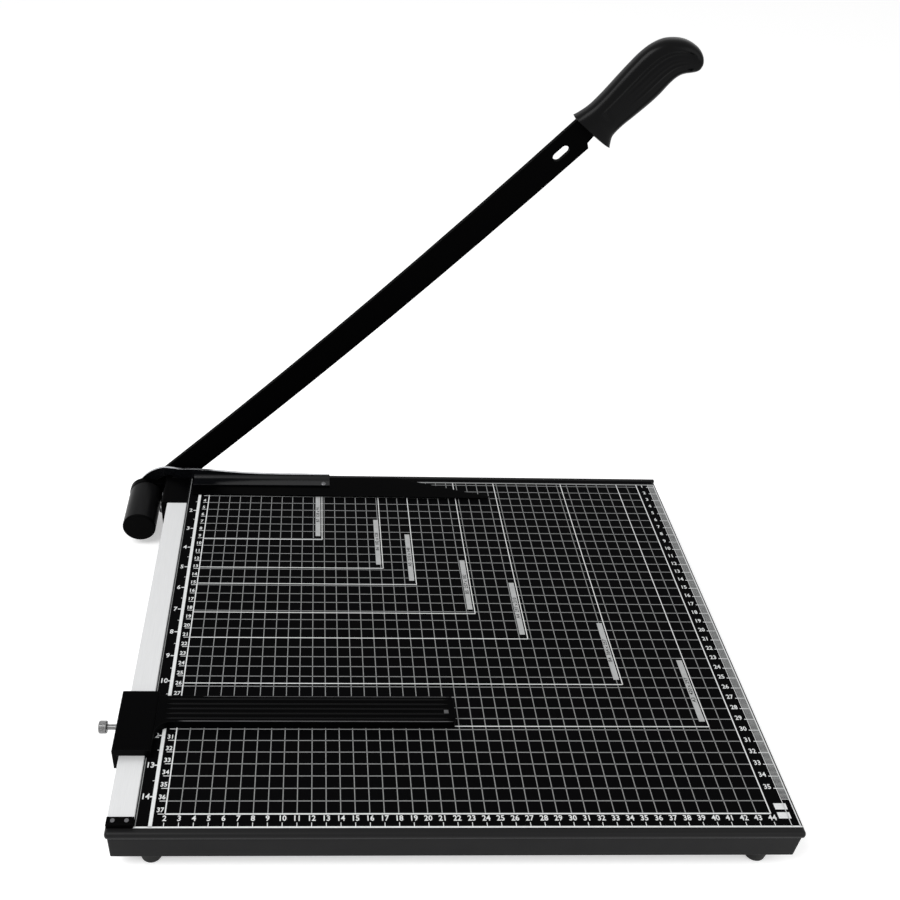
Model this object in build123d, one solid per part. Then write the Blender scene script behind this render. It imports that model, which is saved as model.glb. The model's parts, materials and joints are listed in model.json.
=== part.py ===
from build123d import *
import os
from math import cos, radians, sin

# Guillotine paper cutter, millimetres, +Z up, table plane at Z = 0.
# It is drawn about the centre of its base, with +X towards the handle side and +Y towards
# the cutting edge, and moved at the end so that the origin is the centre of the overall
# footprint on the table.

# --- base ---
BASE_W = 480.0
BASE_D = 386.0
BASE_H = 27.0
BASE_SHEET = 1.5
BASE_CORNER_R = 3.0
LID_H = 4.0
FOOT_H = 14.0
FOOT_R = 9.0
FOOT_TIP_R = 7.5
RETURN_LIP = 24.0
GRID_SHEET = 0.4
BASE_TOP = FOOT_H + BASE_H
BOARD_Z = BASE_TOP + GRID_SHEET
LEFT = -BASE_W / 2
RIGHT = BASE_W / 2
REAR = BASE_D / 2
FRONT = -BASE_D / 2

# --- paper fence along the left side ---
FENCE_W = 18.5
FENCE_T = 2.5
FENCE_X0 = LEFT + 1.0
FENCE_X1 = FENCE_X0 + FENCE_W
FENCE_TOP = BASE_TOP + FENCE_T
STOP_H = 4.5

# --- fixed blade on the rear wall ---
BLADE_T = 3.0
BLADE_H = 22.0
BLADE_FACE = REAR + BLADE_T

# --- pivot of the cutting arm ---
PIVOT_X = LEFT - 25.5
PIVOT_Z = BASE_TOP - 18.5
BOLT_R = 4.0
RUNNING = 0.05
GAP = 0.3
BRACKET_T = 6.0
BRACKET_FRONT = REAR - BRACKET_T
BRACKET_Y0 = REAR - 43.0
BRACKET_TOP_T = 3.0
LUG_R = 16.0
BARREL_R = 15.5
BARREL_FRONT = REAR - 56.0
BARREL_WALL = 1.5

# --- cutting arm, drawn along its own axis U with W across it ---
ARM_OPEN_DEG = 44.0
ARM_W = 24.5
ARM_T = 4.5
ARM_END_U = 520.0
ARM_Y0 = BLADE_FACE + GAP
ARM_Y1 = ARM_Y0 + ARM_T
ARM_BOSS_R = 11.0
BUSH_R = 5.5
BEVEL_W = 9.0
EDGE_LEFT = 0.6
SLOT_U = 501.5
SLOT_W = 2.8
TANG_U = 608.0

# --- handle ---
HANDLE_T = 22.0
HANDLE_SCREW_U = (552.0, 598.0)
HANDLE_SCREW_W = 5.5

# --- press plate: a formed arm on the pivot, riveted to a flat strip over the cut line ---
PRESS_SHEET = 2.0
PRESS_STRIP_T = 1.2
PRESS_FLANGE_T = 1.5
PRESS_LIFT_DEG = 0.3
PRESS_Z0 = BOARD_Z + GAP
PRESS_Z1 = PRESS_Z0 + PRESS_STRIP_T
PRESS_X0 = LEFT + 23.0
PRESS_ARM_X1 = LEFT + 155.0
PRESS_REAR = REAR - 3.0
PRESS_EYE_R = 10.0
PRESS_EYE_Y = REAR + GAP
PRESS_BEND_R = 3.5
RIVET_AT = (PRESS_ARM_X1 - 6.0, REAR - 14.5)

# --- sliding back gauge on the fence ---
GAUGE_HEAD_Y = (FRONT + 61.0, FRONT + 114.0)
GAUGE_ARM_Y = (FRONT + 87.0, FRONT + 111.0)
GAUGE_TIP_X = 6.5
GAUGE_HEAD_Z = (FENCE_TOP + GAP, BASE_TOP + 9.0)
GAUGE_ARM_Z = (BOARD_Z + GAP, BASE_TOP + 7.5)
SKIRT_X = (LEFT - 3.8, LEFT - GAP)
SKIRT_Z0 = BASE_TOP - 12.0
LIP_X = (FENCE_X1 + GAP, FENCE_X1 + 4.5)
SCREW_Y = (GAUGE_HEAD_Y[0] + GAUGE_HEAD_Y[1]) / 2 + 2.5
SCREW_Z = BASE_TOP - 2.7
INSERT_R = 3.2
KNOB_R = 4.7
KNOB_L = 6.0
KNOB_X1 = LEFT - 12.5

# Centre of the overall footprint, measured from the centre of the base.
FOOTPRINT_CENTRE = (-20.75, 8.275)

os.makedirs("parts", exist_ok=True)


# ------------------------------------------------------------------ helpers
def block(x0, x1, y0, y1, z0, z1):
    """A box between two corners."""
    size = Box(x1 - x0, y1 - y0, z1 - z0)
    return Pos((x0 + x1) / 2, (y0 + y1) / 2, (z0 + z1) / 2) * size


def rod_x(r, x0, x1, y, z):
    return Pos((x0 + x1) / 2, y, z) * Rot(0, 90, 0) * Cylinder(r, x1 - x0)


def rod_y(r, y0, y1, x=PIVOT_X, z=PIVOT_Z):
    return Pos(x, (y0 + y1) / 2, z) * Rot(90, 0, 0) * Cylinder(r, y1 - y0)


def rod_z(r, z0, z1, x, y):
    return Pos(x, y, (z0 + z1) / 2) * Cylinder(r, z1 - z0)


def hexagon(across_flats, length):
    """A hexagonal prism on Z, from 0 to its length."""
    return extrude(RegularPolygon(across_flats / 2, 6, major_radius=False), length)


def save(name, solids):
    """Write one node: its solids moved so that the footprint's centre is the origin."""
    shift = Pos(-FOOTPRINT_CENTRE[0], -FOOTPRINT_CENTRE[1], 0)
    flat = [s for solid in solids for s in (shift * solid).solids()]
    export_step(Compound(children=flat), f"parts/{name}.step")


# ------------------------------------------------------------------ base
FOOT_XY = [(x, y) for x in (LEFT + 28, RIGHT - 23) for y in (FRONT + 12, REAR - 16)]
BLADE_SCREW_X = [LEFT + 30 + 105 * i for i in range(5)]
FENCE_SCREW_Y = [FRONT + 40, 0, REAR - 70]
FENCE_STOP_X = (FENCE_X0 + 4.5, FENCE_X1 - 4.5)
BRACKET_BOLT_YZ = [(BRACKET_Y0 + 10, BASE_TOP - 13), (BRACKET_Y0 + 28, BASE_TOP - 13)]


def tray_screw_holes():
    """Holes for the feet, the fixed blade and the pivot bracket."""
    holes = [rod_z(2.0, FOOT_H - 1, FOOT_H + 3, x, y) for x, y in FOOT_XY]
    holes += [rod_y(2.0, REAR - 4, REAR + 1, x, BASE_TOP - 13) for x in BLADE_SCREW_X]
    holes += [rod_x(2.5, LEFT, LEFT + 4, y, z) for y, z in BRACKET_BOLT_YZ]
    return holes


def front_corners(body):
    return body.edges().filter_by(Axis.Z).filter_by(lambda e: e.center().Y < 0)


def base_lid():
    """Top sheet, folded down over the tray at the front, left and right."""
    lid = block(LEFT, RIGHT, FRONT, REAR, BASE_TOP - LID_H, BASE_TOP)
    rim = lid.edges().group_by(Axis.Z)[-1].filter_by(lambda e: e.center().Y < REAR - 1)
    lid = fillet(rim + front_corners(lid), BASE_CORNER_R)
    t = BASE_SHEET
    lid -= block(LEFT + t, RIGHT - t, FRONT + t, REAR + 1, BASE_TOP - LID_H - 1, BASE_TOP - t)
    for y in FENCE_SCREW_Y:
        lid -= rod_z(1.5, BASE_TOP - 3, BASE_TOP + 1, FENCE_X0 + FENCE_W / 2, y)
    return lid


def base_tray():
    """Four walls inside the lid's fold, with a return lip, open underneath."""
    t = BASE_SHEET
    body = block(LEFT + t, RIGHT - t, FRONT + t, REAR, FOOT_H, BASE_TOP - t)
    body = fillet(front_corners(body), BASE_SHEET)
    body -= block(LEFT + 2 * t, RIGHT - 2 * t, FRONT + 2 * t, REAR - t, FOOT_H + t, BASE_TOP)
    lip = RETURN_LIP
    body -= block(LEFT + lip, RIGHT - lip, FRONT + lip, REAR - lip, FOOT_H - 1, FOOT_H + t + 1)
    for hole in tray_screw_holes():
        body -= hole
    return body


def stiffener(y):
    """Open channel spot-welded under the top, along X."""
    top = BASE_TOP - BASE_SHEET
    channel = block(LEFT + 15, RIGHT - 15, y - 15, y + 15, top - 12, top)
    return channel - block(LEFT + 14, RIGHT - 14, y - 13.8, y + 13.8, top - 13, top - 1.2)


def grid_sheet():
    """Printed film on the base top, between the fence and the right-hand fold."""
    right = RIGHT - BASE_CORNER_R - 0.5
    return block(FENCE_X1 + 0.5, right, FRONT + 5.5, REAR - 1, BASE_TOP, BOARD_Z)


def foot(x, y):
    """Rubber foot, tapering down, hollow under its screw."""
    cone = Pos(x, y, FOOT_H / 2) * Cone(FOOT_TIP_R, FOOT_R, FOOT_H)
    cone = fillet(cone.edges().group_by(Axis.Z)[0], 2.0)
    cone -= rod_z(3.8, -1, 6, x, y)
    return cone - rod_z(2.0, 5, FOOT_H + 1, x, y)


def foot_screw(x, y):
    return rod_z(3.5, 3.4, 6, x, y) + rod_z(2.0, 6, FOOT_H + 5, x, y)


def foot_nut(x, y):
    nut = Pos(x, y, FOOT_H + BASE_SHEET) * hexagon(7, 3.2)
    return nut - rod_z(2.0, FOOT_H, FOOT_H + 6, x, y)


# ------------------------------------------------------------------ fence
def fence_strip():
    """Flat aluminium bar that the paper is squared against, tapped from below."""
    bar = block(FENCE_X0, FENCE_X1, FRONT + 12, BRACKET_Y0 - 0.5, BASE_TOP, FENCE_TOP)
    bar = chamfer(bar.edges().group_by(Axis.Z)[-1].filter_by(Axis.Y), 0.4)
    for y in FENCE_SCREW_Y:
        bar -= rod_z(1.5, BASE_TOP - 1, BASE_TOP + 2, FENCE_X0 + FENCE_W / 2, y)
    return bar


def fence_screw(y):
    x = FENCE_X0 + FENCE_W / 2
    under = BASE_TOP - BASE_SHEET
    return rod_z(2.8, under - 2, under, x, y) + rod_z(1.5, under, BASE_TOP + 2, x, y)


def fence_stop():
    """Block at the front end that keeps the back gauge on the fence."""
    stop = block(FENCE_X0, FENCE_X1, FRONT + 5.5, FRONT + 11.8, BASE_TOP, BASE_TOP + STOP_H)
    stop = fillet(stop.edges().group_by(Axis.Z)[-1], 0.8)
    for x in FENCE_STOP_X:
        stop -= fence_stop_screw(x)
    return stop


def fence_stop_screw(x):
    y = FRONT + 8.6
    top = BASE_TOP + STOP_H
    return rod_z(1.5, top - 1.2, top + 0.3, x, y) + rod_z(1.0, BASE_TOP, top - 1.2, x, y)


# ------------------------------------------------------------------ fixed blade
def blade_screw(x):
    """Countersunk screw, flush with the shear face."""
    z = BASE_TOP - 13
    head = Pos(x, BLADE_FACE - 1.1, z) * Rot(90, 0, 0) * Cone(4.0, 2.0, 2.2)
    return head + rod_y(2.0, REAR - 5, BLADE_FACE - 2.2, x, z)


def blade_nut(x):
    z = BASE_TOP - 13
    inner = REAR - BASE_SHEET
    nut = Pos(x, inner, z) * Rot(90, 0, 0) * hexagon(7, 3.2)
    return nut - rod_y(2.0, inner - 5, inner + 1, x, z)


def fixed_blade():
    """Ground bar flush with the board, bevelled below its edge at the back."""
    bar = block(LEFT, RIGHT, REAR, BLADE_FACE, BOARD_Z - BLADE_H, BOARD_Z)
    for x in BLADE_SCREW_X:
        bar -= blade_screw(x)
    return bar


# ------------------------------------------------------------------ pivot
def hinge_bracket():
    """Thick steel bracket: side plate, lug for the pivot, and a tab over the base's corner."""
    lid_z = BASE_TOP - LID_H
    side = block(LEFT - 5, LEFT, BRACKET_Y0, REAR, FOOT_H + 3, BASE_TOP)
    side += block(LEFT, LEFT + BASE_SHEET, BRACKET_Y0, REAR, FOOT_H + 3, lid_z)
    tab = block(LEFT - 5, FENCE_X1 - 1, BRACKET_Y0, REAR - 6.5, BASE_TOP, BASE_TOP + BRACKET_TOP_T)
    tab = fillet(tab.edges().filter_by(Axis.Y).group_by(Axis.Z)[-1].sort_by(Axis.X)[0], 2.5)
    with BuildSketch(Plane.XZ) as lug_face:
        with Locations((PIVOT_X, PIVOT_Z)):
            Circle(LUG_R)
        Polygon(
            (PIVOT_X, PIVOT_Z + LUG_R), (LEFT - 14, BASE_TOP - 5), (LEFT, BASE_TOP - 5),
            (LEFT, FOOT_H + 3), (PIVOT_X, PIVOT_Z - LUG_R),
            align=None,
        )
    lug = Pos(0, REAR, 0) * extrude(lug_face.sketch, BRACKET_T)
    body = side + tab + lug
    body -= rod_y(BOLT_R, BRACKET_FRONT - 1, REAR + 1)
    for y, z in BRACKET_BOLT_YZ:
        body -= rod_x(2.5, LEFT - 6, LEFT + 2, y, z)
    return body


def bracket_bolt(y, z):
    head = rod_x(4.5, LEFT - 8.3, LEFT - 5, y, z)
    head = fillet(head.edges().sort_by(Axis.X)[0], 1.5)
    return head + rod_x(2.5, LEFT - 5, LEFT + 9, y, z)


def bracket_nut(y, z):
    nut = Pos(LEFT + 2 * BASE_SHEET, y, z) * Rot(0, 90, 0) * hexagon(8, 4)
    return nut - rod_x(2.5, LEFT, LEFT + 10, y, z)


BOLT_HEAD_Y = ARM_Y1 + GAP + 1.6
NUT_Y = BARREL_FRONT + 9.0


def pivot_bolt():
    """Hexagon bolt from behind the arm, through the bracket, into the spring barrel."""
    head = Pos(PIVOT_X, BOLT_HEAD_Y + 5.3, PIVOT_Z) * Rot(90, 0, 0) * hexagon(13, 5.3)
    return head + rod_y(BOLT_R, NUT_Y - 3, BOLT_HEAD_Y)


def pivot_nut():
    nut = Pos(PIVOT_X, NUT_Y + 6.5, PIVOT_Z) * Rot(90, 0, 0) * hexagon(13, 6.5)
    return nut - rod_y(BOLT_R, NUT_Y - 1, NUT_Y + 8)


def ring(r_out, r_in, y0, y1):
    return rod_y(r_out, y0, y1) - rod_y(r_in, y0 - 1, y1 + 1)


def pivot_spring():
    """Compression spring that draws the arm against the fixed blade."""
    wire = 1.4
    y0 = NUT_Y + 8.1 + wire
    length = BRACKET_FRONT - wire - y0
    path = Helix(pitch=length / 5, height=length, radius=8.6)
    start = Plane(origin=path @ 0, z_dir=path % 0)
    coil = sweep(start * Circle(wire), path=path)
    return Pos(PIVOT_X, y0, PIVOT_Z) * Rot(-90, 0, 0) * coil


def spring_barrel():
    return ring(BARREL_R, BARREL_R - BARREL_WALL, BARREL_FRONT + 2, BRACKET_FRONT)


def barrel_cap():
    """Plug that closes the front of the barrel."""
    disc = rod_y(BARREL_R, BARREL_FRONT, BARREL_FRONT + 2)
    disc = fillet(disc.edges().sort_by(Axis.Y)[0], 1.4)
    return disc + rod_y(BARREL_R - BARREL_WALL, BARREL_FRONT + 2, BARREL_FRONT + 5)


# ------------------------------------------------------------------ cutting arm
def arm_centre(u):
    """The arm's gentle curve: distance of its centre line from the pivot axis at U."""
    return -6.6 - 0.019 * u + 7.5e-5 * u * u


def arm_top(u):
    return arm_centre(u) + ARM_W / 2


def arm_edge(u):
    return arm_centre(u) - ARM_W / 2


def edge_arc(height, u0, u1):
    """Circular arc through a curve's two ends and middle."""
    mid = (u0 + u1) / 2
    return ThreePointArc((u0, height(u0)), (mid, height(mid)), (u1, height(u1)))


OPEN = radians(ARM_OPEN_DEG)
ARM_PLANE = Plane(origin=(PIVOT_X, ARM_Y1, PIVOT_Z), x_dir=(cos(OPEN), 0, sin(OPEN)), z_dir=(0, -1, 0))


def tang():
    """The narrow end of the arm inside the handle, in arm coordinates."""
    return Pos((ARM_END_U + TANG_U) / 2, 4.6) * Rectangle(TANG_U - ARM_END_U + 2, 15)


def arm_blank():
    """The arm's flat outline: boss, curved blade and tang."""
    top = edge_arc(arm_top, 30, 528)
    edge = edge_arc(arm_edge, ARM_END_U, 40)
    outline = [
        Line((0, ARM_BOSS_R), top @ 0),
        top,
        Polyline(top @ 1, (532, 12), (532, -2.5), (ARM_END_U + 2, -4.4), edge @ 0),
        edge,
        Polyline(edge @ 1, (0, -ARM_BOSS_R), (0, ARM_BOSS_R)),
    ]
    flat = make_face(outline) + Circle(ARM_BOSS_R) + tang()
    flat -= Circle(BUSH_R)
    return flat - Pos(SLOT_U, SLOT_W) * Rot(0, 0, 3) * SlotOverall(15, 7)


def arm_bevel():
    """Wedge ground off the back of the cutting edge."""
    path = edge_arc(arm_edge, 46, ARM_END_U)
    across = Plane(origin=path @ 0, x_dir=(0, 0, 1), z_dir=path % 0)
    wedge = Polygon((-1, 1), (ARM_T - EDGE_LEFT, 1), (ARM_T - EDGE_LEFT, 0), (0, -BEVEL_W), (-1, -BEVEL_W), align=None)
    return sweep(across * wedge, path=path)


def handle_screw(u):
    """Screw through the handle and tang from the back, head let in."""
    back = ARM_T / 2 - HANDLE_T / 2
    head = Pos(u, HANDLE_SCREW_W, back + 1.2) * Cylinder(3.6, 2.4)
    shank = Pos(u, HANDLE_SCREW_W, back + 9.2) * Cylinder(2.0, 13.6)
    return head + shank


def cutting_arm():
    arm = extrude(arm_blank(), ARM_T) - arm_bevel()
    for u in HANDLE_SCREW_U:
        arm -= handle_screw(u)
    return ARM_PLANE * arm


def handle_outline():
    """Side view: a flared guard at the arm, a waist for the fingers and a hooked end."""
    back = Spline(
        (525.4, 20.6), (546, 18.8), (570, 22.7), (594, 25.9), (612, 21.5), (624.6, 7), (624.4, -7), (616.5, -13.2)
    )
    belly = Spline((616.5, -13.2), (603, -7.4), (585, -9.7), (560, -10.9), (544, -11.3))
    guard = ThreePointArc((544, -11.3), (537.4, -14.2), (532.4, -20.0))
    face = Polyline((532.4, -20.0), (529.3, -4.0), (525.4, 20.6))
    return make_face([back, belly, guard, face])


def handle():
    """Moulded plastic grip over the tang."""
    grip = Pos(0, 0, ARM_T / 2 - HANDLE_T / 2) * extrude(handle_outline(), HANDLE_T)
    flat_ends = grip.faces().sort_by(Axis.Z)
    grip = chamfer(flat_ends[0].edges() + flat_ends[-1].edges(), 3.0)
    grip -= extrude(tang(), ARM_T)
    grip -= extrude(arm_blank(), ARM_T)
    for u in HANDLE_SCREW_U:
        grip -= handle_screw(u)
    return ARM_PLANE * grip


# ------------------------------------------------------------------ press plate
def lifted(solid):
    """Turn a press-plate piece about the pivot from lying flat to its raised rest."""
    to_pivot = Pos(PIVOT_X, 0, PIVOT_Z)
    return to_pivot * Rot(0, -PRESS_LIFT_DEG, 0) * to_pivot.inverse() * solid


def press_web_plan():
    """Seen from above: the eye lies behind the bracket, and the web steps forward over the board."""
    y_eye, y_web, t = PRESS_EYE_Y, PRESS_REAR - PRESS_SHEET, PRESS_SHEET
    x_step = (LEFT - 7, LEFT + 10)
    return Polygon(
        (PIVOT_X - 20, y_eye), (x_step[0], y_eye), (x_step[1], y_web), (PRESS_ARM_X1, y_web),
        (PRESS_ARM_X1, y_web + t), (x_step[1] + 0.8, y_web + t), (x_step[0] + 0.8, y_eye + t), (PIVOT_X - 20, y_eye + t),
        align=None,
    )


def press_web_side():
    """Seen from the front: up from the eye, round over the base's corner, and down to nothing."""
    eye_l, eye_r = PIVOT_X - PRESS_EYE_R, PIVOT_X + PRESS_EYE_R
    z = BASE_TOP
    shoulder = ThreePointArc((eye_l, PIVOT_Z), (LEFT - 27.3, z - 1), (LEFT - 6, z + 10.4))
    crest = Spline((LEFT - 6, z + 10.4), (LEFT + 12, z + 12.4), (LEFT + 32, z + 11.8), (LEFT + 70, z + 8.4),
                   (LEFT + 110, z + 7.1), (PRESS_ARM_X1, z + 6.3))
    foot_line = Polyline((PRESS_ARM_X1, z + 6.3), (PRESS_ARM_X1, PRESS_Z1), (LEFT - 3, PRESS_Z1))
    throat = Polyline((LEFT - 3, PRESS_Z1), (LEFT - 14, z - 4), (eye_r, PIVOT_Z))
    eye = ThreePointArc((eye_r, PIVOT_Z), (PIVOT_X, PIVOT_Z - PRESS_EYE_R), (eye_l, PIVOT_Z))
    return make_face([shoulder, crest, foot_line, throat, eye])


def press_arm():
    """Formed steel arm: eye on the pivot bolt, stepped web, and a flange riveted to the strip."""
    web = extrude(press_web_plan(), BASE_TOP + 20)
    side = Pos(0, REAR + 8, 0) * extrude(Plane.XZ * press_web_side(), 16)
    web = (web & side) - rod_y(BOLT_R + RUNNING, REAR - 1, REAR + 5)
    y_web, z_flange, r = PRESS_REAR - PRESS_SHEET, PRESS_Z1 + PRESS_FLANGE_T, PRESS_BEND_R
    flange = block(PRESS_X0, PRESS_ARM_X1, REAR - 17, y_web, PRESS_Z1, z_flange)
    bend = block(PRESS_X0, PRESS_ARM_X1, y_web - r, y_web, z_flange, z_flange + r)
    bend -= rod_x(r, PRESS_X0 - 1, PRESS_ARM_X1 + 1, y_web - r, z_flange + r)
    return web + flange + bend - press_rivet(*RIVET_AT)


def press_strip():
    """Flat spring-steel strip that holds the paper, tapering to a nose at the handle side."""
    outline = FilletPolyline(
        (PRESS_X0, PRESS_REAR), (LEFT + 222, PRESS_REAR), (LEFT + 284, REAR - 23), (LEFT + 309.5, REAR - 30),
        (LEFT + 308, REAR - 33), (PRESS_X0, REAR - 29.2),
        radius=1.2, close=True,
    )
    strip = Pos(0, 0, PRESS_Z0) * extrude(make_face(outline), PRESS_STRIP_T)
    return strip - press_rivet(*RIVET_AT)


def press_rivet(x, y):
    head = Pos(x, y, PRESS_Z1 + PRESS_FLANGE_T + 0.5) * Cone(2.6, 1.6, 1.0)
    return head + rod_z(1.5, PRESS_Z0, PRESS_Z1 + PRESS_FLANGE_T, x, y)


# ------------------------------------------------------------------ back gauge
def gauge_body():
    """Moulded head over the fence, skirt outside the base, and a straight arm across the board."""
    y0, y1 = GAUGE_HEAD_Y
    z0, z1 = GAUGE_HEAD_Z
    head = block(SKIRT_X[0], LIP_X[1], y0, y1, z0, z1)
    skirt = block(*SKIRT_X, y0, y1, SKIRT_Z0, z1)
    lip = block(*LIP_X, y0, y1, GAUGE_ARM_Z[0], z1)
    body = head + skirt + lip
    body = fillet(body.edges().filter_by(Axis.Y).group_by(Axis.Z)[-1], 1.5)
    body += gauge_arm()
    return body - rod_x(INSERT_R, SKIRT_X[0] - 1, SKIRT_X[1] + 1, SCREW_Y, SCREW_Z)


def gauge_arm():
    """Straight bar with a rounded root where it leaves the head."""
    x0, x1 = LIP_X[1] - 0.5, GAUGE_TIP_X
    y0, y1 = GAUGE_ARM_Y
    z0, z1 = GAUGE_ARM_Z
    root = 12.0
    corner = Pos(x0 + root / 2, y0 - root / 2) * Rectangle(root, root)
    corner -= Pos(x0 + root, y0 - root) * Circle(root)
    arm = block(x0, x1, y0, y1, z0, z1) + Pos(0, 0, z0) * extrude(corner, z1 - z0)
    return fillet(arm.edges().filter_by(Axis.Z).sort_by(Axis.X)[-2:], 3.0)


def gauge_insert():
    sleeve = rod_x(INSERT_R, SKIRT_X[0], SKIRT_X[1] - 0.2, SCREW_Y, SCREW_Z)
    return sleeve - rod_x(2.0 + RUNNING, SKIRT_X[0] - 1, SKIRT_X[1] + 1, SCREW_Y, SCREW_Z)


def thumbscrew():
    """Knurled clamping screw: its point bears on the side of the base."""
    knob = rod_x(KNOB_R, KNOB_X1 - KNOB_L, KNOB_X1, SCREW_Y, SCREW_Z)
    knob = chamfer(knob.edges().filter_by(GeomType.CIRCLE), 0.6)
    for i in range(20):
        turn = radians(18 * i)
        y = SCREW_Y + (KNOB_R + 0.1) * cos(turn)
        z = SCREW_Z + (KNOB_R + 0.1) * sin(turn)
        knob -= rod_x(0.5, KNOB_X1 - KNOB_L - 1, KNOB_X1 + 1, y, z)
    return knob + rod_x(2.0, KNOB_X1, LEFT - GAP - 0.05, SCREW_Y, SCREW_Z)


# ------------------------------------------------------------------ nodes
save("base_lid", [base_lid()])
save("base_tray", [base_tray()])
save("stiffener_channels", [stiffener(-100), stiffener(100)])
save("grid_sheet", [grid_sheet()])
save("feet", [foot(x, y) for x, y in FOOT_XY])
save("foot_screws", [foot_screw(x, y) for x, y in FOOT_XY])
save("foot_nuts", [foot_nut(x, y) for x, y in FOOT_XY])
save("fence_strip", [fence_strip()])
save("fence_screws", [fence_screw(y) for y in FENCE_SCREW_Y])
save("fence_stop", [fence_stop()])
save("fence_stop_screws", [fence_stop_screw(x) for x in FENCE_STOP_X])
save("fixed_blade", [fixed_blade()])
save("blade_screws", [blade_screw(x) for x in BLADE_SCREW_X])
save("blade_nuts", [blade_nut(x) for x in BLADE_SCREW_X])
save("hinge_bracket", [hinge_bracket()])
save("bracket_bolts", [bracket_bolt(y, z) for y, z in BRACKET_BOLT_YZ])
save("bracket_nuts", [bracket_nut(y, z) for y, z in BRACKET_BOLT_YZ])
save("pivot_bolt", [pivot_bolt()])
save("pivot_nut", [pivot_nut()])
save("spring_washer", [ring(11.5, BOLT_R, NUT_Y + 6.5, NUT_Y + 8.1)])
save("pivot_spring", [pivot_spring()])
save("spring_barrel", [spring_barrel()])
save("barrel_cap", [barrel_cap()])
save("rear_washer", [ring(10.0, BOLT_R, ARM_Y1 + GAP, BOLT_HEAD_Y)])
save("friction_washer", [ring(10.5, BOLT_R + RUNNING, ARM_Y0 - 0.7, ARM_Y0)])
save("arm_bush", [ring(BUSH_R, BOLT_R + RUNNING, ARM_Y0, ARM_Y1)])
save("cutting_arm", [cutting_arm()])
save("handle", [handle()])
save("handle_screws", [ARM_PLANE * handle_screw(u) for u in HANDLE_SCREW_U])
save("press_arm", [lifted(press_arm())])
save("press_strip", [lifted(press_strip())])
save("press_rivet", [lifted(press_rivet(*RIVET_AT))])
save("gauge_body", [gauge_body()])
save("gauge_insert", [gauge_insert()])
save("thumbscrew", [thumbscrew()])
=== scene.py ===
# %% [markdown]
# # A guillotine paper cutter
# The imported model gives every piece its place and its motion. This lesson dresses it: a
# camera and a light tent, painted steel, printed rulings, a moulded handle and a bright fence.

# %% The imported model
import json
import math
import bpy
import numpy as np
from mathutils import Matrix, Quaternion, Vector


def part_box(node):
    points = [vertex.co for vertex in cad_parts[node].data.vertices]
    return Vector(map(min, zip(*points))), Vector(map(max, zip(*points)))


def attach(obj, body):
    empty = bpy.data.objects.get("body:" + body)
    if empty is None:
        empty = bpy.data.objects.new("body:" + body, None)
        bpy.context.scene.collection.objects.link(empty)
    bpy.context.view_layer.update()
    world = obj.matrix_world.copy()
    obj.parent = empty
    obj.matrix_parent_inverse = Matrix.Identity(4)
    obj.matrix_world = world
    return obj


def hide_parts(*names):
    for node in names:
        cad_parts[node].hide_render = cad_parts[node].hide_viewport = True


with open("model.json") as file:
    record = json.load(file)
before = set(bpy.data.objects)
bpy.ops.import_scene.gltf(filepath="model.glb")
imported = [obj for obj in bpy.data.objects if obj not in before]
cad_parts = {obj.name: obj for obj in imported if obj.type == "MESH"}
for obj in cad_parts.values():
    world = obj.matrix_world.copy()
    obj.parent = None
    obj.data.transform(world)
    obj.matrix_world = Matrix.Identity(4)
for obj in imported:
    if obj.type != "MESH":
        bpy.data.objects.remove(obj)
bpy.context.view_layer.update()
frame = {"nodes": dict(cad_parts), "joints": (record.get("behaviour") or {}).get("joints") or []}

nodes = frame["nodes"]
MM = 0.001

# %% [markdown]
# ## The camera
# The camera stands a little left of the middle, looks 36 degrees down and leans slightly.
# A rotation vector holds all three turns at once: its direction is the axis, its length the
# angle. The small shift keeps the whole cutter in the frame without turning the camera.

# %% The camera
turn = Vector((2.19919, -0.00616, 0.0471))
world_to_eye = Quaternion(turn.normalized(), turn.length).to_matrix()
lens = bpy.data.cameras.new("camera")
lens.sensor_width = 36.0
lens.lens = 39.59
lens.shift_x = 0.1167
lens.shift_y = -0.0178
camera = bpy.data.objects.new("camera", lens)
bpy.context.scene.collection.objects.link(camera)
axes = (Matrix.Diagonal((1, -1, -1)) @ world_to_eye).transposed()
camera.matrix_world = Matrix.Translation((-0.0849, -0.5812, 0.6516)) @ axes.to_4x4()
bpy.context.scene.camera = camera
print("camera looks along", [round(x, 3) for x in world_to_eye[2]])

# %% [markdown]
# ## The floor and the light
# A product stands on white paper in a light tent. The world is an even white, dimmer as a
# light than as a backdrop. One broad lamp from the upper left gives the shadows a direction,
# and a weaker one at the right fills them. The floor is ordinary white paper with a little
# glow added for what the camera sees, so that it turns white but keeps the object's shadow.


# %% Light tent
def combine(tree, operation, a, b):
    """One Math node on two values; either may be a number."""
    made = tree.nodes.new("ShaderNodeMath")
    made.operation = operation
    for socket, value in zip(made.inputs, (a, b)):
        if isinstance(value, (int, float)):
            socket.default_value = value
        else:
            tree.links.new(value, socket)
    return made.outputs[0]


def seen_directly(tree):
    """A value of 1 for rays from the camera and for mirror and glass rays, 0 for the rest."""
    ray = tree.nodes.new("ShaderNodeLightPath").outputs
    seen = combine(tree, "MAXIMUM", ray["Is Camera Ray"], ray["Is Glossy Ray"])
    return combine(tree, "MAXIMUM", seen, ray["Is Transmission Ray"])


def graded(tree, value, low, high):
    """Turns 0..1 into low..high."""
    span = tree.nodes.new("ShaderNodeMapRange")
    span.inputs["To Min"].default_value = low
    span.inputs["To Max"].default_value = high
    tree.links.new(value, span.inputs["Value"])
    return span.outputs["Result"]


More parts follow.
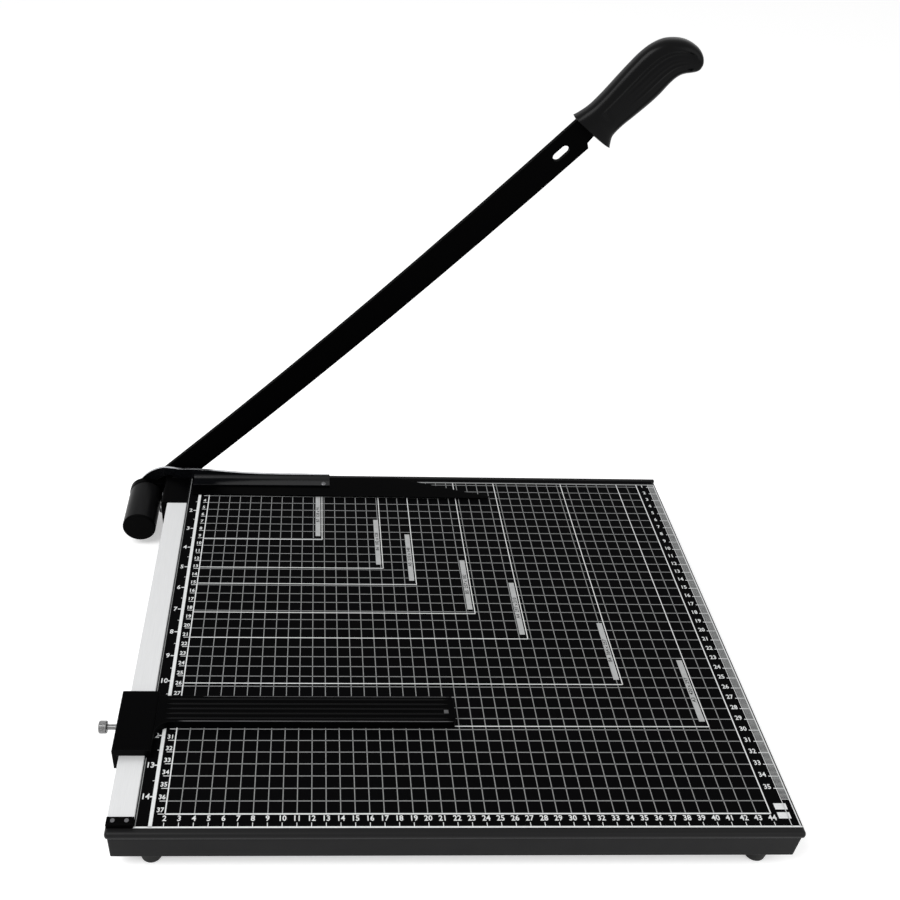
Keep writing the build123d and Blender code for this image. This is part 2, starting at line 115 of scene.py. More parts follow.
tent = bpy.data.worlds.new("light_tent")
tent.use_nodes = True
backdrop = tent.node_tree.nodes["Background"]
backdrop.inputs["Color"].default_value = (1, 1, 1, 1)
AS_LIGHT, AS_BACKDROP = 0.62, 1.0
strength = graded(tent.node_tree, seen_directly(tent.node_tree), AS_LIGHT, AS_BACKDROP)
tent.node_tree.links.new(strength, backdrop.inputs["Strength"])
bpy.context.scene.world = tent


def soft_lamp(name, place, target, width, power):
    """A square area lamp aimed at a point."""
    light = bpy.data.lights.new(name, "AREA")
    light.size = width
    light.energy = power
    lamp = bpy.data.objects.new(name, light)
    bpy.context.scene.collection.objects.link(lamp)
    lamp.location = place
    lamp.rotation_mode = "QUATERNION"
    lamp.rotation_quaternion = (Vector(target) - Vector(place)).to_track_quat("-Z", "Y")


AIM = (0, 0, 0.1)
soft_lamp("key", place=(-0.9, -0.5, 1.5), target=AIM, width=0.9, power=17)
soft_lamp("fill", place=(1.2, -1.0, 1.0), target=AIM, width=1.2, power=6)
bpy.context.scene.view_settings.view_transform = "Standard"
print("lamps 2")

# %% Floor
sheet = bpy.data.meshes.new("floor")
REACH = 6
rim = [(-REACH, -REACH, 0), (REACH, -REACH, 0), (REACH, REACH, 0), (-REACH, REACH, 0)]
sheet.from_pydata(rim, [], [(0, 1, 2, 3)])
floor = bpy.data.objects.new("floor", sheet)
bpy.context.scene.collection.objects.link(floor)
paper = bpy.data.materials.new("white_paper")
paper.use_nodes = True
tree = paper.node_tree
matt = tree.nodes["Principled BSDF"]
matt.inputs["Base Color"].default_value = (0.86, 0.86, 0.86, 1)
matt.inputs["Roughness"].default_value = 1.0
matt.inputs["Specular IOR Level"].default_value = 0.0
glow = tree.nodes.new("ShaderNodeEmission")
both = tree.nodes.new("ShaderNodeAddShader")
GLOW = 0.42
tree.links.new(graded(tree, seen_directly(tree), 0.0, GLOW), glow.inputs["Strength"])
tree.links.new(matt.outputs[0], both.inputs[0])
tree.links.new(glow.outputs[0], both.inputs[1])
tree.links.new(both.outputs[0], tree.nodes["Material Output"].inputs["Surface"])
sheet.materials.append(paper)
print("floor", len(sheet.polygons), "face")

# %% [markdown]
# ## Finishes
# Most of the cutter is steel with a black coat. A coat is never quite even: fine grain moves
# its tone, a broader cloud moves its shine, and its corners are rounded. One helper makes all
# of these from a few numbers. The corner rounding comes from the Bevel node, so a sharp
# machined edge still catches a thin line of light. Where a finish is given an edge colour,
# that lighter colour is a painted highlight laid along its corners.


# %% Finish helper
def node(tree, kind, **inputs):
    """Adds a node and sets its inputs by name, with _ for a space."""
    made = tree.nodes.new("ShaderNode" + kind)
    for key, value in inputs.items():
        made.inputs[key.replace("_", " ")].default_value = value
    return made


def cloud(tree, scale, stretch=(1, 1, 1), detail=4.0):
    """Noise on object coordinates. Stretch above 1 packs it tighter along that axis."""
    place = tree.nodes.new("ShaderNodeTexCoord")
    mapping = tree.nodes.new("ShaderNodeMapping")
    mapping.inputs["Scale"].default_value = stretch
    noise = node(tree, "TexNoise", Scale=scale, Detail=detail)
    tree.links.new(place.outputs["Object"], mapping.inputs["Vector"])
    tree.links.new(mapping.outputs[0], noise.inputs["Vector"])
    return noise.outputs["Fac"]


def blend_colours(tree, factor, low, high):
    """Goes from low to high with the factor; each may be a colour or a socket."""
    mix = tree.nodes.new("ShaderNodeMix")
    mix.data_type = "RGBA"
    for socket, value in ((mix.inputs[6], low), (mix.inputs[7], high)):
        if isinstance(value, tuple):
            socket.default_value = (*value, 1)
        else:
            tree.links.new(value, socket)
    tree.links.new(factor, mix.inputs[0])
    return mix.outputs[2]


def finish(name, colour, rough, metal=0.0, specular=0.5, grain=1500, stretch=(1, 1, 1),
           tone=0.15, bump=0.1, corner=0.35, patchy=0.07, edge=None):
    """A coat or metal: grain moves its tone, a cloud its shine, and its corners are rounded. An edge
    colour, if given, is a painted highlight along the corners.
    """
    made = bpy.data.materials.new(name)
    made.use_nodes = True
    tree = made.node_tree
    skin = tree.nodes["Principled BSDF"]
    skin.inputs["Metallic"].default_value = metal
    skin.inputs["Specular IOR Level"].default_value = specular
    fine = cloud(tree, grain, stretch)
    low = tuple(c * (1 - tone) for c in colour)
    high = tuple(min(1.0, c * (1 + tone)) for c in colour)
    skin_colour = blend_colours(tree, fine, low, high)
    rounded = node(tree, "Bevel", Radius=corner * MM)
    # the edge colour is a painted highlight, mixed in where the rounded normal turns at a corner
    if edge:
        skin_colour = blend_colours(tree, corners(tree, rounded), skin_colour, edge)
    tree.links.new(skin_colour, skin.inputs["Base Color"])
    shine = graded(tree, cloud(tree, 35, detail=3.0), rough - patchy, rough + patchy)
    tree.links.new(shine, skin.inputs["Roughness"])
    relief = node(tree, "Bump", Strength=bump, Distance=0.15 * MM)
    tree.links.new(fine, relief.inputs["Height"])
    tree.links.new(rounded.outputs[0], relief.inputs["Normal"])
    tree.links.new(relief.outputs[0], skin.inputs["Normal"])
    return made


def corners(tree, rounded):
    """0 on a flat and up to 0.6 on a corner: how far the rounded normal leaves the true one."""
    geometry = tree.nodes.new("ShaderNodeNewGeometry")
    dot = tree.nodes.new("ShaderNodeVectorMath")
    dot.operation = "DOT_PRODUCT"
    tree.links.new(rounded.outputs[0], dot.inputs[0])
    tree.links.new(geometry.outputs["Normal"], dot.inputs[1])
    span = node(tree, "MapRange", From_Min=0.99, From_Max=0.80, To_Min=0.0, To_Max=0.6)
    tree.links.new(dot.outputs["Value"], span.inputs["Value"])
    return span.outputs["Result"]


def face_lean(tree):
    """The X, Y and Z of the direction that each flat face looks in."""
    facing = tree.nodes.new("ShaderNodeNewGeometry")
    lean = tree.nodes.new("ShaderNodeSeparateXYZ")
    tree.links.new(facing.outputs["True Normal"], lean.inputs[0])
    return lean.outputs


def bare_where(tree, mask, steel):
    """Shows a steel colour through a coat where the mask is 1: bare steel, and on the press arm a
    painted highlight.
    """
    skin = tree.nodes["Principled BSDF"]
    coat = skin.inputs["Base Color"].links[0].from_socket
    tree.links.new(blend_colours(tree, mask, coat, steel), skin.inputs["Base Color"])
    tree.links.new(mask, skin.inputs["Metallic"])


def paint(material, *names):
    """Gives CAD nodes a material in their own slots."""
    for name in names:
        slots = nodes[name].data.materials
        slots.clear()
        slots.append(material)
    print(material.name, "on", ", ".join(names))


# %% [markdown]
# ## Painted steel
# The tray has a semi-matt powder coat with a faint orange peel, and the lid a slightly
# glossier one. The barrel is a turned tube whose streaks run round it, closed by a flat
# black cap.

# %% Painted steel
# the edge colours of the tray and the lid are painted highlights along their corners
powder = finish("black_powder_coat", (0.0065, 0.0065, 0.007), 0.45, specular=0.055, grain=900,
                bump=0.25, corner=0.7, edge=(0.05, 0.05, 0.052))
paint(powder, "base_tray")
lid_paint = finish("lid_paint", (0.006, 0.006, 0.0063), 0.40, specular=0.14, grain=900, bump=0.2,
                   corner=0.7, edge=(0.035, 0.035, 0.037))
paint(lid_paint, "base_lid")
tube_paint = finish("barrel_paint", (0.0045, 0.0045, 0.0048), 0.36, specular=0.06, grain=260,
                    stretch=(1, 0.12, 1), tone=0.6, bump=0.3, corner=0.5)
paint(tube_paint, "spring_barrel")
cap_paint = finish("barrel_end_paint", (0.0014, 0.0014, 0.0015), 0.5, specular=0.015, grain=500,
                   bump=0.2, corner=0.5)
paint(cap_paint, "barrel_cap")

# %% [markdown]
# ## The cutting arm
# The arm is black except where the grinder took the paint off: the bevel behind its cutting
# edge. The bevel's faces lean, and they lie in a narrow band above the curve that the edge
# follows, so the two together find it. The arm's own coordinates come from turning the
# object coordinates back by the opening angle about the pivot.

# %% The arm's own coordinates
OPEN = math.radians(44.0)
joint = {j["name"]: j for j in frame["joints"]}
PIVOT = Vector(joint["arm_hinge"]["pos_m"])
arm_low, arm_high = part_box("cutting_arm")


def on_arm(u, w, y):
    """Points at u along and w across the arm, in millimetres, and y metres back."""
    x = PIVOT.x + (u * math.cos(OPEN) - w * math.sin(OPEN)) * MM
    z = PIVOT.z + (u * math.sin(OPEN) + w * math.cos(OPEN)) * MM
    return np.stack([x, y + 0 * x, z], axis=-1)


# %% Arm finish
# the arm's edge colour is a painted highlight along its corners
arm_coat = finish("arm_coat", (0.0006, 0.0006, 0.00065), 0.5, specular=0.012, grain=700, bump=0.2,
                  corner=0.3, edge=(0.012, 0.012, 0.013))
tree = arm_coat.node_tree
arm_place = tree.nodes.new("ShaderNodeTexCoord")
arm_axes = tree.nodes.new("ShaderNodeMapping")
arm_axes.vector_type = "TEXTURE"
arm_axes.inputs["Location"].default_value = PIVOT
arm_axes.inputs["Rotation"].default_value = (0, -OPEN, 0)
tree.links.new(arm_place.outputs["Object"], arm_axes.inputs["Vector"])
local = tree.nodes.new("ShaderNodeSeparateXYZ")
tree.links.new(arm_axes.outputs[0], local.inputs[0])
u_mm = combine(tree, "MULTIPLY", local.outputs["X"], 1 / MM)
w_mm = combine(tree, "MULTIPLY", local.outputs["Z"], 1 / MM)

# the cutting edge is w = EDGE_AT + EDGE_SLOPE u + EDGE_BEND u^2, in millimetres
EDGE_AT, EDGE_SLOPE, EDGE_BEND = -18.85, -0.019, 7.5e-5
bent = combine(tree, "MULTIPLY", combine(tree, "MULTIPLY", u_mm, u_mm), EDGE_BEND)
edge_line = combine(tree, "ADD", bent, combine(tree, "MULTIPLY", u_mm, EDGE_SLOPE))
above = combine(tree, "SUBTRACT", w_mm, combine(tree, "ADD", edge_line, EDGE_AT))

# the ground band: its height and its two ends in millimetres, and how far its faces lean
BAND, BAND_START, BAND_END = 9.3, 44.0, 521.0
LEAST_LEAN, MOST_LEAN = 0.3, 0.97
lean = face_lean(tree)
tests = (("LESS_THAN", above, BAND),
         ("LESS_THAN", lean["Y"], MOST_LEAN), ("GREATER_THAN", lean["Y"], LEAST_LEAN),
         ("GREATER_THAN", u_mm, BAND_START), ("LESS_THAN", u_mm, BAND_END))
passed = [combine(tree, comparison, value, limit) for comparison, value, limit in tests]
ground = passed[0]
for also in passed[1:]:
    ground = combine(tree, "MULTIPLY", ground, also)
arm_steel = blend_colours(tree, cloud(tree, 420, (1, 1, 14)), (0.34, 0.35, 0.37), (0.56, 0.57, 0.58))
bare_where(tree, ground, arm_steel)
paint(arm_coat, "cutting_arm")

# %% [markdown]
# ## Press plate
# The press arm is glossier than the rest, and its top edge carries a painted highlight: a bright
# steel colour for the white it reflects. Only faces that look up, on the upright web at the back,
# get it, broken up by a cloud. The strip and the pivot bracket share a flatter black.

# %% Press plate finish
press_gloss = finish("press_gloss", (0.0020, 0.0022, 0.0028), 0.24, specular=0.24, grain=420,
                     stretch=(0.3, 1, 1), bump=0.10, corner=0.5, patchy=0.06)
tree = press_gloss.node_tree
where = tree.nodes.new("ShaderNodeTexCoord")
spot = tree.nodes.new("ShaderNodeSeparateXYZ")
tree.links.new(where.outputs["Object"], spot.inputs[0])
WEB_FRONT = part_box("press_strip")[1].y - 2.3 * MM
LOOKS_UP = 0.55
# the up-facing faces of the web get a painted highlight in a bright steel colour, for the white they
# reflect
on_top = combine(tree, "GREATER_THAN", face_lean(tree)["Z"], LOOKS_UP)
on_web = combine(tree, "GREATER_THAN", spot.outputs["Y"], WEB_FRONT)
highlight_breakup = combine(tree, "MINIMUM", graded(tree, cloud(tree, 90, detail=5.0), 0.45, 1.25), 1.0)
painted_top_highlight = combine(tree, "MULTIPLY", combine(tree, "MULTIPLY", on_top, on_web), highlight_breakup)
bare_where(tree, painted_top_highlight, (0.62, 0.63, 0.65))
paint(press_gloss, "press_arm")
# the strip's edge colour is a painted highlight along its corners
strip_gloss = finish("press_strip_gloss", (0.0006, 0.0006, 0.0007), 0.3, specular=0.012, grain=300,
                     stretch=(0.25, 1, 1), bump=0.10, corner=0.3, edge=(0.012, 0.012, 0.013))
paint(strip_gloss, "press_strip", "hinge_bracket")

# %% [markdown]
# ## Bare metals, rubber and plastic
# Aluminium drawn through a die carries fine lines along its length. Turned parts carry them
# round the axis, and rubber is dusty rather than shiny.

# %% Bare metals
fence_metal = finish("fence_aluminium", (0.66, 0.665, 0.67), 0.42, metal=0.35, specular=0.4,
                     grain=420, stretch=(6, 0.15, 1), tone=0.08, bump=0.06, corner=0.3)
paint(fence_metal, "fence_strip")
zinc = finish("bright_zinc", (0.60, 0.61, 0.62), 0.30, metal=1.0, grain=1800, tone=0.12, bump=0.08)
dull_zinc = finish("dull_zinc", (0.13, 0.13, 0.135), 0.42, metal=1.0, grain=1500, tone=0.2)
paint(dull_zinc, "fence_stop_screws", "press_rivet", "bracket_bolts")
paint(zinc, "fence_screws", "foot_screws", "foot_nuts", "blade_screws",
      "blade_nuts", "bracket_nuts", "pivot_bolt", "pivot_nut", "rear_washer",
      "spring_washer", "handle_screws", "stiffener_channels")
blade_black = finish("blackened_blade", (0.006, 0.006, 0.0065), 0.4, specular=0.1, grain=500,
                     stretch=(0.1, 1, 9), tone=0.3, bump=0.10, corner=0.1)
tree = blade_black.node_tree
LOOKS_BACK = 0.7
shear_face = combine(tree, "GREATER_THAN", face_lean(tree)["Y"], LOOKS_BACK)
streaks = cloud(tree, 500, (0.1, 1, 9))
bare_where(tree, shear_face, blend_colours(tree, streaks, (0.36, 0.37, 0.39), (0.56, 0.57, 0.59)))
paint(blade_black, "fixed_blade")
spring_metal = finish("oiled_spring", (0.33, 0.34, 0.36), 0.32, metal=1.0, grain=900, tone=0.2)
paint(spring_metal, "pivot_spring")
knurled = finish("knurled_nickel", (0.17, 0.17, 0.17), 0.30, metal=1.0, grain=1600,
                 stretch=(3, 1, 1), tone=0.6, bump=0.15, corner=0.15)
paint(knurled, "thumbscrew")
bronze = finish("sintered_bronze", (0.52, 0.33, 0.16), 0.40, metal=1.0, grain=1500, tone=0.2)
paint(bronze, "arm_bush")
brass = finish("machined_brass", (0.66, 0.48, 0.22), 0.28, metal=1.0, grain=1100,
               stretch=(5, 1, 1), tone=0.12)
paint(brass, "gauge_insert")

# %% Rubber, fibre and moulded plastic
rubber = finish("foot_rubber", (0.012, 0.012, 0.012), 0.85, specular=0.25, grain=1400, bump=0.5,
                tone=0.3)
paint(rubber, "feet")
fibre = finish("pressed_fibre", (0.23, 0.14, 0.08), 0.8, specular=0.2, grain=2200, tone=0.4,
               bump=0.5)
paint(fibre, "friction_washer")
# the gauge's edge colour is a painted highlight along its corners
moulded = finish("gauge_plastic", (0.0009, 0.0009, 0.0010), 0.42, specular=0.015, grain=2300,
                 bump=0.3, corner=0.6, tone=0.2, edge=(0.014, 0.014, 0.015))
paint(moulded, "gauge_body", "fence_stop")
film = finish("board_film", (0.0013, 0.0013, 0.0015), 0.6, specular=0.015, grain=1700, bump=0.25,
              corner=0.1, tone=0.25)
paint(film, "grid_sheet")

# %% [markdown]
# ## Mesh helpers
# New pieces are worked out as whole arrays. A box list makes thin strips of ink, and a grid
# of rings makes anything with a profile carried along a path.


# %% Mesh helpers
def piece(name, points, faces, material, body, slot=None, smooth=False):
    """A mesh object in the frame's own place, riding on a body."""
    mesh = bpy.data.meshes.new(name)
    mesh.from_pydata(np.asarray(points, float).reshape(-1, 3).tolist(), [], faces)
    mesh.polygons.foreach_set("use_smooth", np.full(len(mesh.polygons), smooth))
    mesh.materials.append(material)
    mesh.update()
    made = bpy.data.objects.new(name, mesh)
    bpy.context.scene.collection.objects.link(made)
    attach(made, body)
    print(name, len(mesh.polygons), "faces")
    return made


def flat_boxes(rows, z0, height):
    """Boxes from rows of x0, x1, y0, y1: eight corners each, six outward faces."""
    rows = np.asarray(rows, float).reshape(-1, 4)
    xs = rows[:, [0, 1, 1, 0, 0, 1, 1, 0]]
    ys = rows[:, [2, 2, 3, 3, 2, 2, 3, 3]]
    zs = np.broadcast_to(z0 + height * np.array([0, 0, 0, 0, 1, 1, 1, 1]), xs.shape)
    points = np.stack([xs, ys, zs], axis=-1).reshape(-1, 3)
    one = np.array([[3, 2, 1, 0], [4, 5, 6, 7], [0, 1, 5, 4], [1, 2, 6, 5], [2, 3, 7, 6],
                    [3, 0, 4, 7]])
    faces = (one[None] + 8 * np.arange(len(rows))[:, None, None]).reshape(-1, 4)
    return points, faces.tolist()


def ring_faces(rings, around):
    """Quads between closed rings, one row of points to a ring, with a flat cap at each end."""
    i, j = np.meshgrid(np.arange(rings - 1), np.arange(around), indexing="ij")
    k = (j + 1) % around
    here, there = i * around, (i + 1) * around
    faces = np.stack([here + j, here + k, there + k, there + j], -1).reshape(-1, 4).tolist()
    faces.append(list(range(around - 1, -1, -1)))
    faces.append([(rings - 1) * around + n for n in range(around)])
    return faces


# %% [markdown]
# ## The printed rulings
# The board's film is screen printed: a one-centimetre grid, rulers round three sides, and an
# L for each paper size with a pale label beside it. Ink is a real layer, a few hundredths of
# a millimetre thick, so each line is a very flat box on the film. It stays crisp at any
# distance. All distances are in centimetres: a to the right of the fence, b forward from the
# cutting edge.

# %% Ink
INK, BOLD_INK = 0.05 * MM, 0.07 * MM
CM = 0.01
film_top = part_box("grid_sheet")[1].z
fence_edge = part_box("fence_strip")[1].x
cut_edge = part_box("base_lid")[1].y


def line(a0, a1, b0, b1):
    """One row for flat_boxes, from centimetres right of the fence and forward of the cut."""
    return [fence_edge + CM * a0, fence_edge + CM * a1, cut_edge - CM * b1, cut_edge - CM * b0]


def upright(a, b0, b1, wide):
    """A line that runs forward, with its middle at a."""
    return line(a - wide / 2, a + wide / 2, b0, b1)


def level(b, a0, a1, wide):
    """A line that runs to the right, with its middle at b."""
    return line(a0, a1, b - wide / 2, b + wide / 2)


def printed_ink(name, colour, grain, tone):
    """A matt printed colour."""
    return finish(name, colour, 0.6, specular=0.2, grain=grain, tone=tone, corner=0.02)


GRID_LEFT, GRID_RIGHT, GRID_REAR, GRID_FRONT = 2, 44, 0.65, 37
BORDER_LEFT, BORDER_RIGHT, BORDER_REAR, BORDER_FRONT = 1.1, 45.75, 0.3, 38
HAIRLINE = 0.062
grid_ink = printed_ink("grid_ink", (0.24, 0.245, 0.245), grain=600, tone=0.25)
white_ink = printed_ink("white_ink", (0.66, 0.67, 0.67), grain=500, tone=0.14)
thin = [upright(a, GRID_REAR, GRID_FRONT, HAIRLINE) for a in range(GRID_LEFT + 1, GRID_RIGHT)]
thin += [level(b, GRID_LEFT, GRID_RIGHT, HAIRLINE) for b in range(1, GRID_FRONT)]
thin += [level(0.62, 1.3, BORDER_RIGHT, 0.14), upright(0.1, BORDER_REAR, BORDER_FRONT, 0.06)]
piece("grid_lines", *flat_boxes(thin, film_top, INK), grid_ink, "base", "board_film")

# %% Paper sizes and borders
SIZES = ((12.8, 9.1, "B7"), (18.2, 12.8, "B6"), (21.0, 14.8, "A5"), (25.7, 18.2, "B5"),
         (29.7, 21.0, "A4"), (36.4, 25.7, "B4"), (42.0, 29.7, "A3"))
SIZE_LINE = 0.075
LABEL_LEFT, LABEL_RIGHT, LABEL_REAR, LABEL_FRONT = 0.60, 0.15, 6.5, 0.48
bold = [upright(BORDER_LEFT, BORDER_REAR, BORDER_FRONT, 0.26)]
bold += [upright(a, GRID_REAR, GRID_FRONT, 0.09) for a in (GRID_LEFT, GRID_RIGHT)]
bold += [level(GRID_FRONT, GRID_LEFT, GRID_RIGHT, 0.1), level(BORDER_FRONT, -0.05, 45.85, 0.12)]
bold += [upright(BORDER_RIGHT, GRID_REAR, BORDER_FRONT, 0.08)]
bold += [upright(45.15, GRID_REAR, BORDER_FRONT, 0.04)]
for across, down, _ in SIZES:
    bold += [upright(across, GRID_REAR, down, SIZE_LINE), level(down, GRID_LEFT, across, SIZE_LINE)]
bold += [level(b, 44.46, 45.34, 0.48) for b in (36.45, 37.15)]
piece("bold_lines", *flat_boxes(bold, film_top, BOLD_INK), white_ink, "base", "board_film")
labels = [line(across - LABEL_LEFT, across - LABEL_RIGHT, down - LABEL_REAR, down - LABEL_FRONT)
          for across, down, _ in SIZES]
label_ink = printed_ink("label_ink", (0.38, 0.385, 0.385), grain=420, tone=0.22)
piece("size_labels", *flat_boxes(labels, film_top, BOLD_INK), label_ink, "base", "board_film")

# %% Ruler ticks
INCH, INCH_START = 2.54, 0.1
ticks = [level(b, 1.5, 1.95, 0.05) for b in range(1, 38)]
ticks += [level(b / 10, 45.2, 45.7, 0.024) for b in range(7, 360) if b % 10]
ticks += [level(b, 44.95, 45.7, 0.06) for b in range(1, 36)]
ticks += [upright(a, 37.65, 37.95, 0.05) for a in range(GRID_LEFT, GRID_RIGHT + 1)]
ticks += [level(INCH * n + INCH_START, 0.70, 1.0, 0.09) for n in range(1, 15)]
ticks += [level(INCH * (n + 0.5) + INCH_START, 0.82, 1.0, 0.05) for n in range(0, 14)]
piece("ruler_ticks", *flat_boxes(ticks, film_top, INK), white_ink, "base", "board_film")

# %% [markdown]
# ## The lettering
# A text object draws each numeral and each label once. It is turned into a mesh and its
# points are read out, so that all the copies can be placed as arrays and joined into one
# piece of ink.

# %% Lettering meshes
drawn_once = {}


def letters(text):
    """Points and faces of thin lettering one unit high, centred on its own middle."""
    if text not in drawn_once:
        curve = bpy.data.curves.new("numeral", "FONT")
        curve.body = text
        curve.resolution_u = 2
        curve.extrude = 0.02
        curve.offset = 0.02
        curve.align_x = "CENTER"
        curve.align_y = "CENTER"
        drawn = bpy.data.objects.new("numeral", curve)
        mesh = bpy.data.meshes.new_from_object(drawn)
        points = np.array([v.co for v in mesh.vertices]).reshape(-1, 3)
        drawn_once[text] = points, [list(p.vertices) for p in mesh.polygons]
        bpy.data.objects.remove(drawn)
        bpy.data.meshes.remove(mesh)
        bpy.data.curves.remove(curve)
    return drawn_once[text]


def lettering(name, items, z0, height, material):
    """Joins lettering: each item is text, a, b, size in centimetres and a quarter-turn count."""
    all_points, all_faces, used = [], [], 0
    for text, a, b, size, quarters in items:
        points, faces = letters(text)
        c, s = ((1, 0), (0, 1), (-1, 0), (0, -1))[quarters % 4]
        x = points[:, 0] * c - points[:, 1] * s
        y = points[:, 0] * s + points[:, 1] * c
        z = z0 + height * (points[:, 2] > 0)
        x = fence_edge + CM * (a + size * x)
        y = cut_edge - CM * (b - size * y)
        all_points.append(np.stack([x, y, z], -1))
        all_faces += [[n + used for n in face] for face in faces]
        used += len(points)
    piece(name, np.concatenate(all_points), all_faces, material, "base", "board_film")


# %% Ruler numerals
marks = [(str(a), a, 37.34, 0.58, 0) for a in range(2, 45)]
marks += [(str(b), 1.64, b - 0.30, 0.50, 0) for b in range(1, 38)]
marks += [(str(b), 44.55, b - 0.12, 0.54, 0) for b in range(1, 36)]
marks += [(str(n), 0.48, INCH * n + INCH_START, 0.62, 0) for n in range(1, 15)]
lettering("ruler_numerals", marks, film_top, INK, white_ink)

# %% Paper-size labels
dark_ink = printed_ink("label_black", (0.02, 0.02, 0.02), grain=500, tone=0.15)
LABEL_MIDDLE = (LABEL_LEFT + LABEL_RIGHT) / 2
label_text = []
for across, down, size in SIZES:
    words = f"{size}  {across * 10:.0f} x {down * 10:.0f}"
    label_text.append((words, across - LABEL_MIDDLE, down - 3.5, 0.42, 1))
lettering("label_print", label_text, film_top + BOLD_INK, 0.5 * INK, dark_ink)

# %% [markdown]
# ## The handle
# The handle is one moulding: a flared guard at the arm, a waist, and a hooked butt. It is a
# squarish ring carried from the guard to the butt. Pairs of points on its back and its belly
# give each ring's height, and a smooth curve runs through them. A shallow panel with four
# fine ribs is pressed into each side, as a mould would, and dies away towards the guard.

# %% Handle outline
BACK = np.array([(525.4, 20.6), (531, 19.3), (540, 18.5), (550, 19.4), (560, 21.0), (570, 22.8),
                 (580, 24.4), (591, 25.7), (601, 25.2), (610, 22.2), (617.3, 16.4), (622.4, 9.6),
                 (625.3, 1.5), (625.2, -4.8), (622.9, -9.6), (619.6, -12.2)])
BELLY = np.array([(532.4, -20.0), (535.3, -16.6), (540.5, -12.5), (550, -11.0), (559, -10.9),
                  (568, -10.8), (577, -10.5), (585, -9.7), (592, -8.3), (598.5, -7.3), (603.5, -7.5),
                  (607.2, -8.9), (610.4, -10.9), (613.2, -12.4), (616, -13.1), (619.0, -12.7)])


def smooth_path(points, count):
    """Catmull-Rom curve through the points: each stretch is a cubic whose end slopes are half
    the chord between the points on either side."""
    p = np.vstack([2 * points[0] - points[1], points, 2 * points[-1] - points[-2]])
    t = np.linspace(0, len(points) - 1 - 1e-9, count)
    k = t.astype(int)
    f = (t - k)[:, None]
    a, b, c, d = p[k], p[k + 1], p[k + 2], p[k + 3]
    square, cube = 2 * a - 5 * b + 4 * c - d, 3 * b - a - 3 * c + d
    return 0.5 * (2 * b + (c - a) * f + square * f**2 + cube * f**3)


def bump_between(x, low, high, soft):
    """0 outside low..high and 1 inside, with an S-shaped step of width soft at each end."""
    rise = np.clip((x - low) / soft, 0, 1)
    fall = np.clip((high - x) / soft, 0, 1)
    return rise**2 * (3 - 2 * rise) * fall**2 * (3 - 2 * fall)


# %% Handle mesh
RINGS, AROUND = 260, 176
SQUARISH = 0.72
HALF_WIDTH, BUTT_SWELL, GUARD_FLARE = 10.0, 0.9, 0.6
PANEL_SINK, RIB_RISE, RIB_SPREAD = 1.5, 1.0, 0.045
RIB_PLACES = (-0.34, -0.12, 0.10, 0.32)
BUTT_FROM, GUARD_TO = 0.84, 0.012


def squarish(wave):
    """A sine or cosine raised to a power with its sign kept, which makes a circle squarer."""
    return np.sign(wave) * np.abs(wave) ** SQUARISH


def moulded_handle():
    """Ring at t, 0 to 1 from guard to butt: middle + half-height * C + half-width * S, where C
    and S are the squarish cosine and sine. The side sinks in the panel and rises on each rib,
    whose place across the side is fixed. The rings shut at the butt."""
    back, belly = smooth_path(BACK, RINGS), smooth_path(BELLY, RINGS)
    t = np.linspace(0, 1, RINGS)[:, None]
    angle = np.linspace(0, 2 * np.pi, AROUND, endpoint=False)[None]
    c, s = squarish(np.cos(angle)), squarish(np.sin(angle))
    middle, half = (back + belly) / 2, (back - belly) / 2
    past = np.clip((t - BUTT_FROM) / (1 - BUTT_FROM), 0, 1)
    shut = np.sqrt(np.clip(1 - past**2, 0, 1))
    swell = BUTT_SWELL * bump_between(t, 0.45, 1.2, 0.3)
    flare = GUARD_FLARE * (1 - bump_between(t, 0.04, 2, 0.1))
    width = HALF_WIDTH + swell + flare
    start = 0.86 + 0.14 * np.clip(t / GUARD_TO, 0, 1)
    side = np.abs(s) ** 3
    panel = bump_between(t, 0.13, 0.80, 0.07) * bump_between(c + 0 * t, -0.78, 0.50, 0.13) * side
    ribs = sum(np.exp(-(((c - at) / RIB_SPREAD) ** 2)) for at in RIB_PLACES)
    ribs = ribs * bump_between(t, 0.26, 0.77, 0.24) * side
    pressed = np.sign(s) * (PANEL_SINK * panel - RIB_RISE * ribs)
    sideways = s * width * shut * start - pressed * shut
    u = middle[:, :1] + half[:, :1] * c * start
    w = middle[:, 1:] + half[:, 1:] * c * start
    y = (arm_low.y + arm_high.y) / 2 - sideways * MM
    return on_arm(u, w, y)


handle_plastic = finish("handle_plastic", (0.0018, 0.0018, 0.0020), 0.26, specular=0.085, grain=1300,
                        bump=0.12, corner=0.2, tone=0.15, patchy=0.06)
grip = piece("handle_grip", moulded_handle(), ring_faces(RINGS, AROUND), handle_plastic, "blade_arm",
             "handle_plastic", smooth=True)
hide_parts("handle")
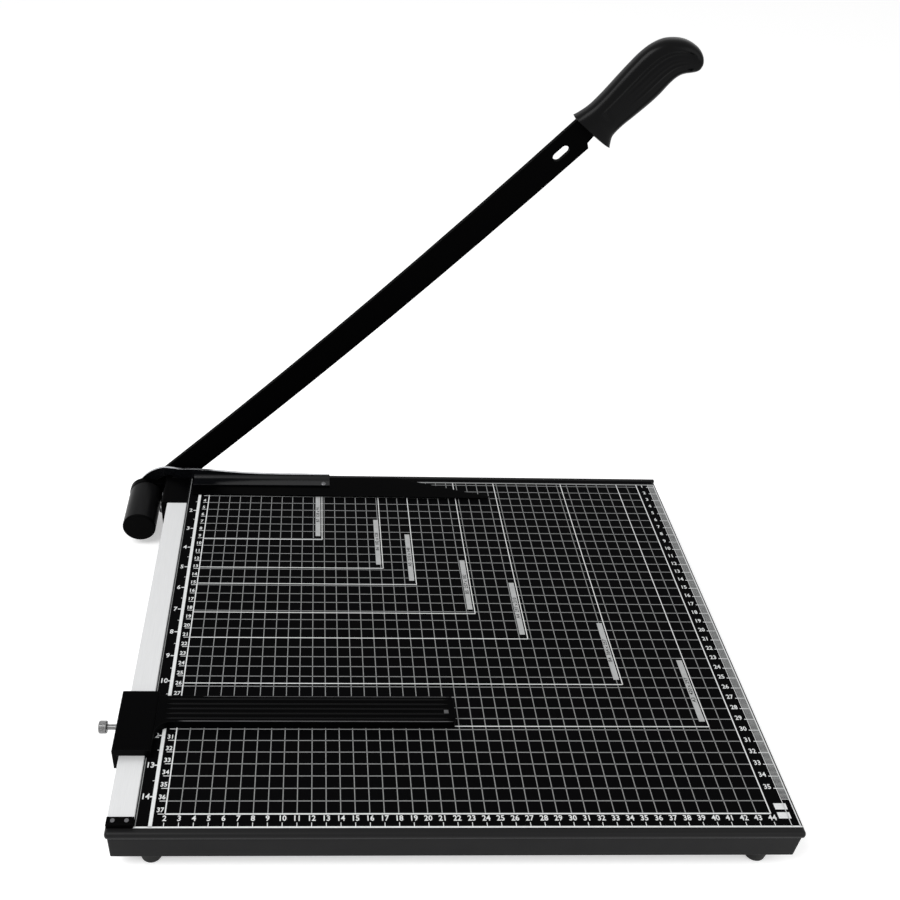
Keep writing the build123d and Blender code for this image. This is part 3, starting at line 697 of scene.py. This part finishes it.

# %% [markdown]
# ## Ribs on the back gauge
# The gauge's bar is moulded with fine ribs along its top. Each is a low half-round bead that
# runs nearly its whole length and is closed at both ends. The ribs are coloured lighter than
# the rest of the moulding, a painted highlight. Thin bright beads along the front and rear edges
# are painted highlights too, and a small stud near the far end is coloured the same.

# %% Gauge ribs
gauge_low, gauge_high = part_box("gauge_body")
BAR_TOP = gauge_high.z - 1.5 * MM
BAR_REAR = gauge_low.y + 50 * MM
BEAD_RINGS, BEAD_AROUND = 40, 16


def bead(x0, x1, y, wide, high):
    """Half-ellipse section carried along x, its height falling to nothing at each end. The
    distances are in millimetres: x0 from the gauge's left end, x1 back from its far end, and
    y forward of the bar's rear edge."""
    x0, x1 = gauge_low.x + x0 * MM, gauge_high.x - x1 * MM
    along = np.linspace(0, 1, BEAD_RINGS)[:, None]
    angle = np.linspace(0, 2 * np.pi, BEAD_AROUND, endpoint=False)[None]
    swell = np.sqrt(np.clip(1 - (2 * along - 1) ** 30, 1e-4, 1))
    x = x0 + (x1 - x0) * along + 0 * angle
    across = BAR_REAR - y * MM + wide * MM / 2 * np.cos(angle) * swell
    up = BAR_TOP + high * MM * np.sin(angle) * swell
    return np.stack([x, across, up], -1)


def joined(beads):
    """Points and faces of several beads in one mesh."""
    one = ring_faces(BEAD_RINGS, BEAD_AROUND)
    step = BEAD_RINGS * BEAD_AROUND
    faces = [[k + n * step for k in face] for n in range(len(beads)) for face in one]
    return np.concatenate([points.reshape(-1, 3) for points in beads]), faces


ribs = [bead(34, 4, offset, 1.5, 0.32) for offset in (3.2, 7.6, 12.0, 16.4, 20.8)]
# the ribs are coloured lighter than the gauge body: a painted highlight
rib_highlight_paint = finish("gauge_rib_painted_highlight", (0.0035, 0.0035, 0.0037), 0.36, specular=0.05, grain=2300,
                     bump=0.2, corner=0.1, tone=0.2)
piece("gauge_ribs", *joined(ribs), rib_highlight_paint, "paper_guide", "gauge_plastic", smooth=True)

# %% Gauge rims
# the rims and the stud are painted highlights: bright beads along the bar's edges and near its far
# end
rim_highlight_paint = finish("painted_rim_highlight", (0.075, 0.075, 0.077), 0.30, specular=0.3, grain=700,
                     stretch=(0.2, 1, 1), corner=0.1, tone=0.5)
gauge_length = (gauge_high.x - gauge_low.x) / MM
front_rim = bead(44, 1.2, 23.3, 0.7, 0.3)
rear_rim = bead(60, 1.2, 0.7, 0.4, 0.2)
stud = bead(gauge_length - 8.2, 4.8, 14.2, 3.2, 0.45)
piece("gauge_rims", *joined([front_rim, rear_rim, stud]), rim_highlight_paint, "paper_guide",
      "gauge_plastic", smooth=True)
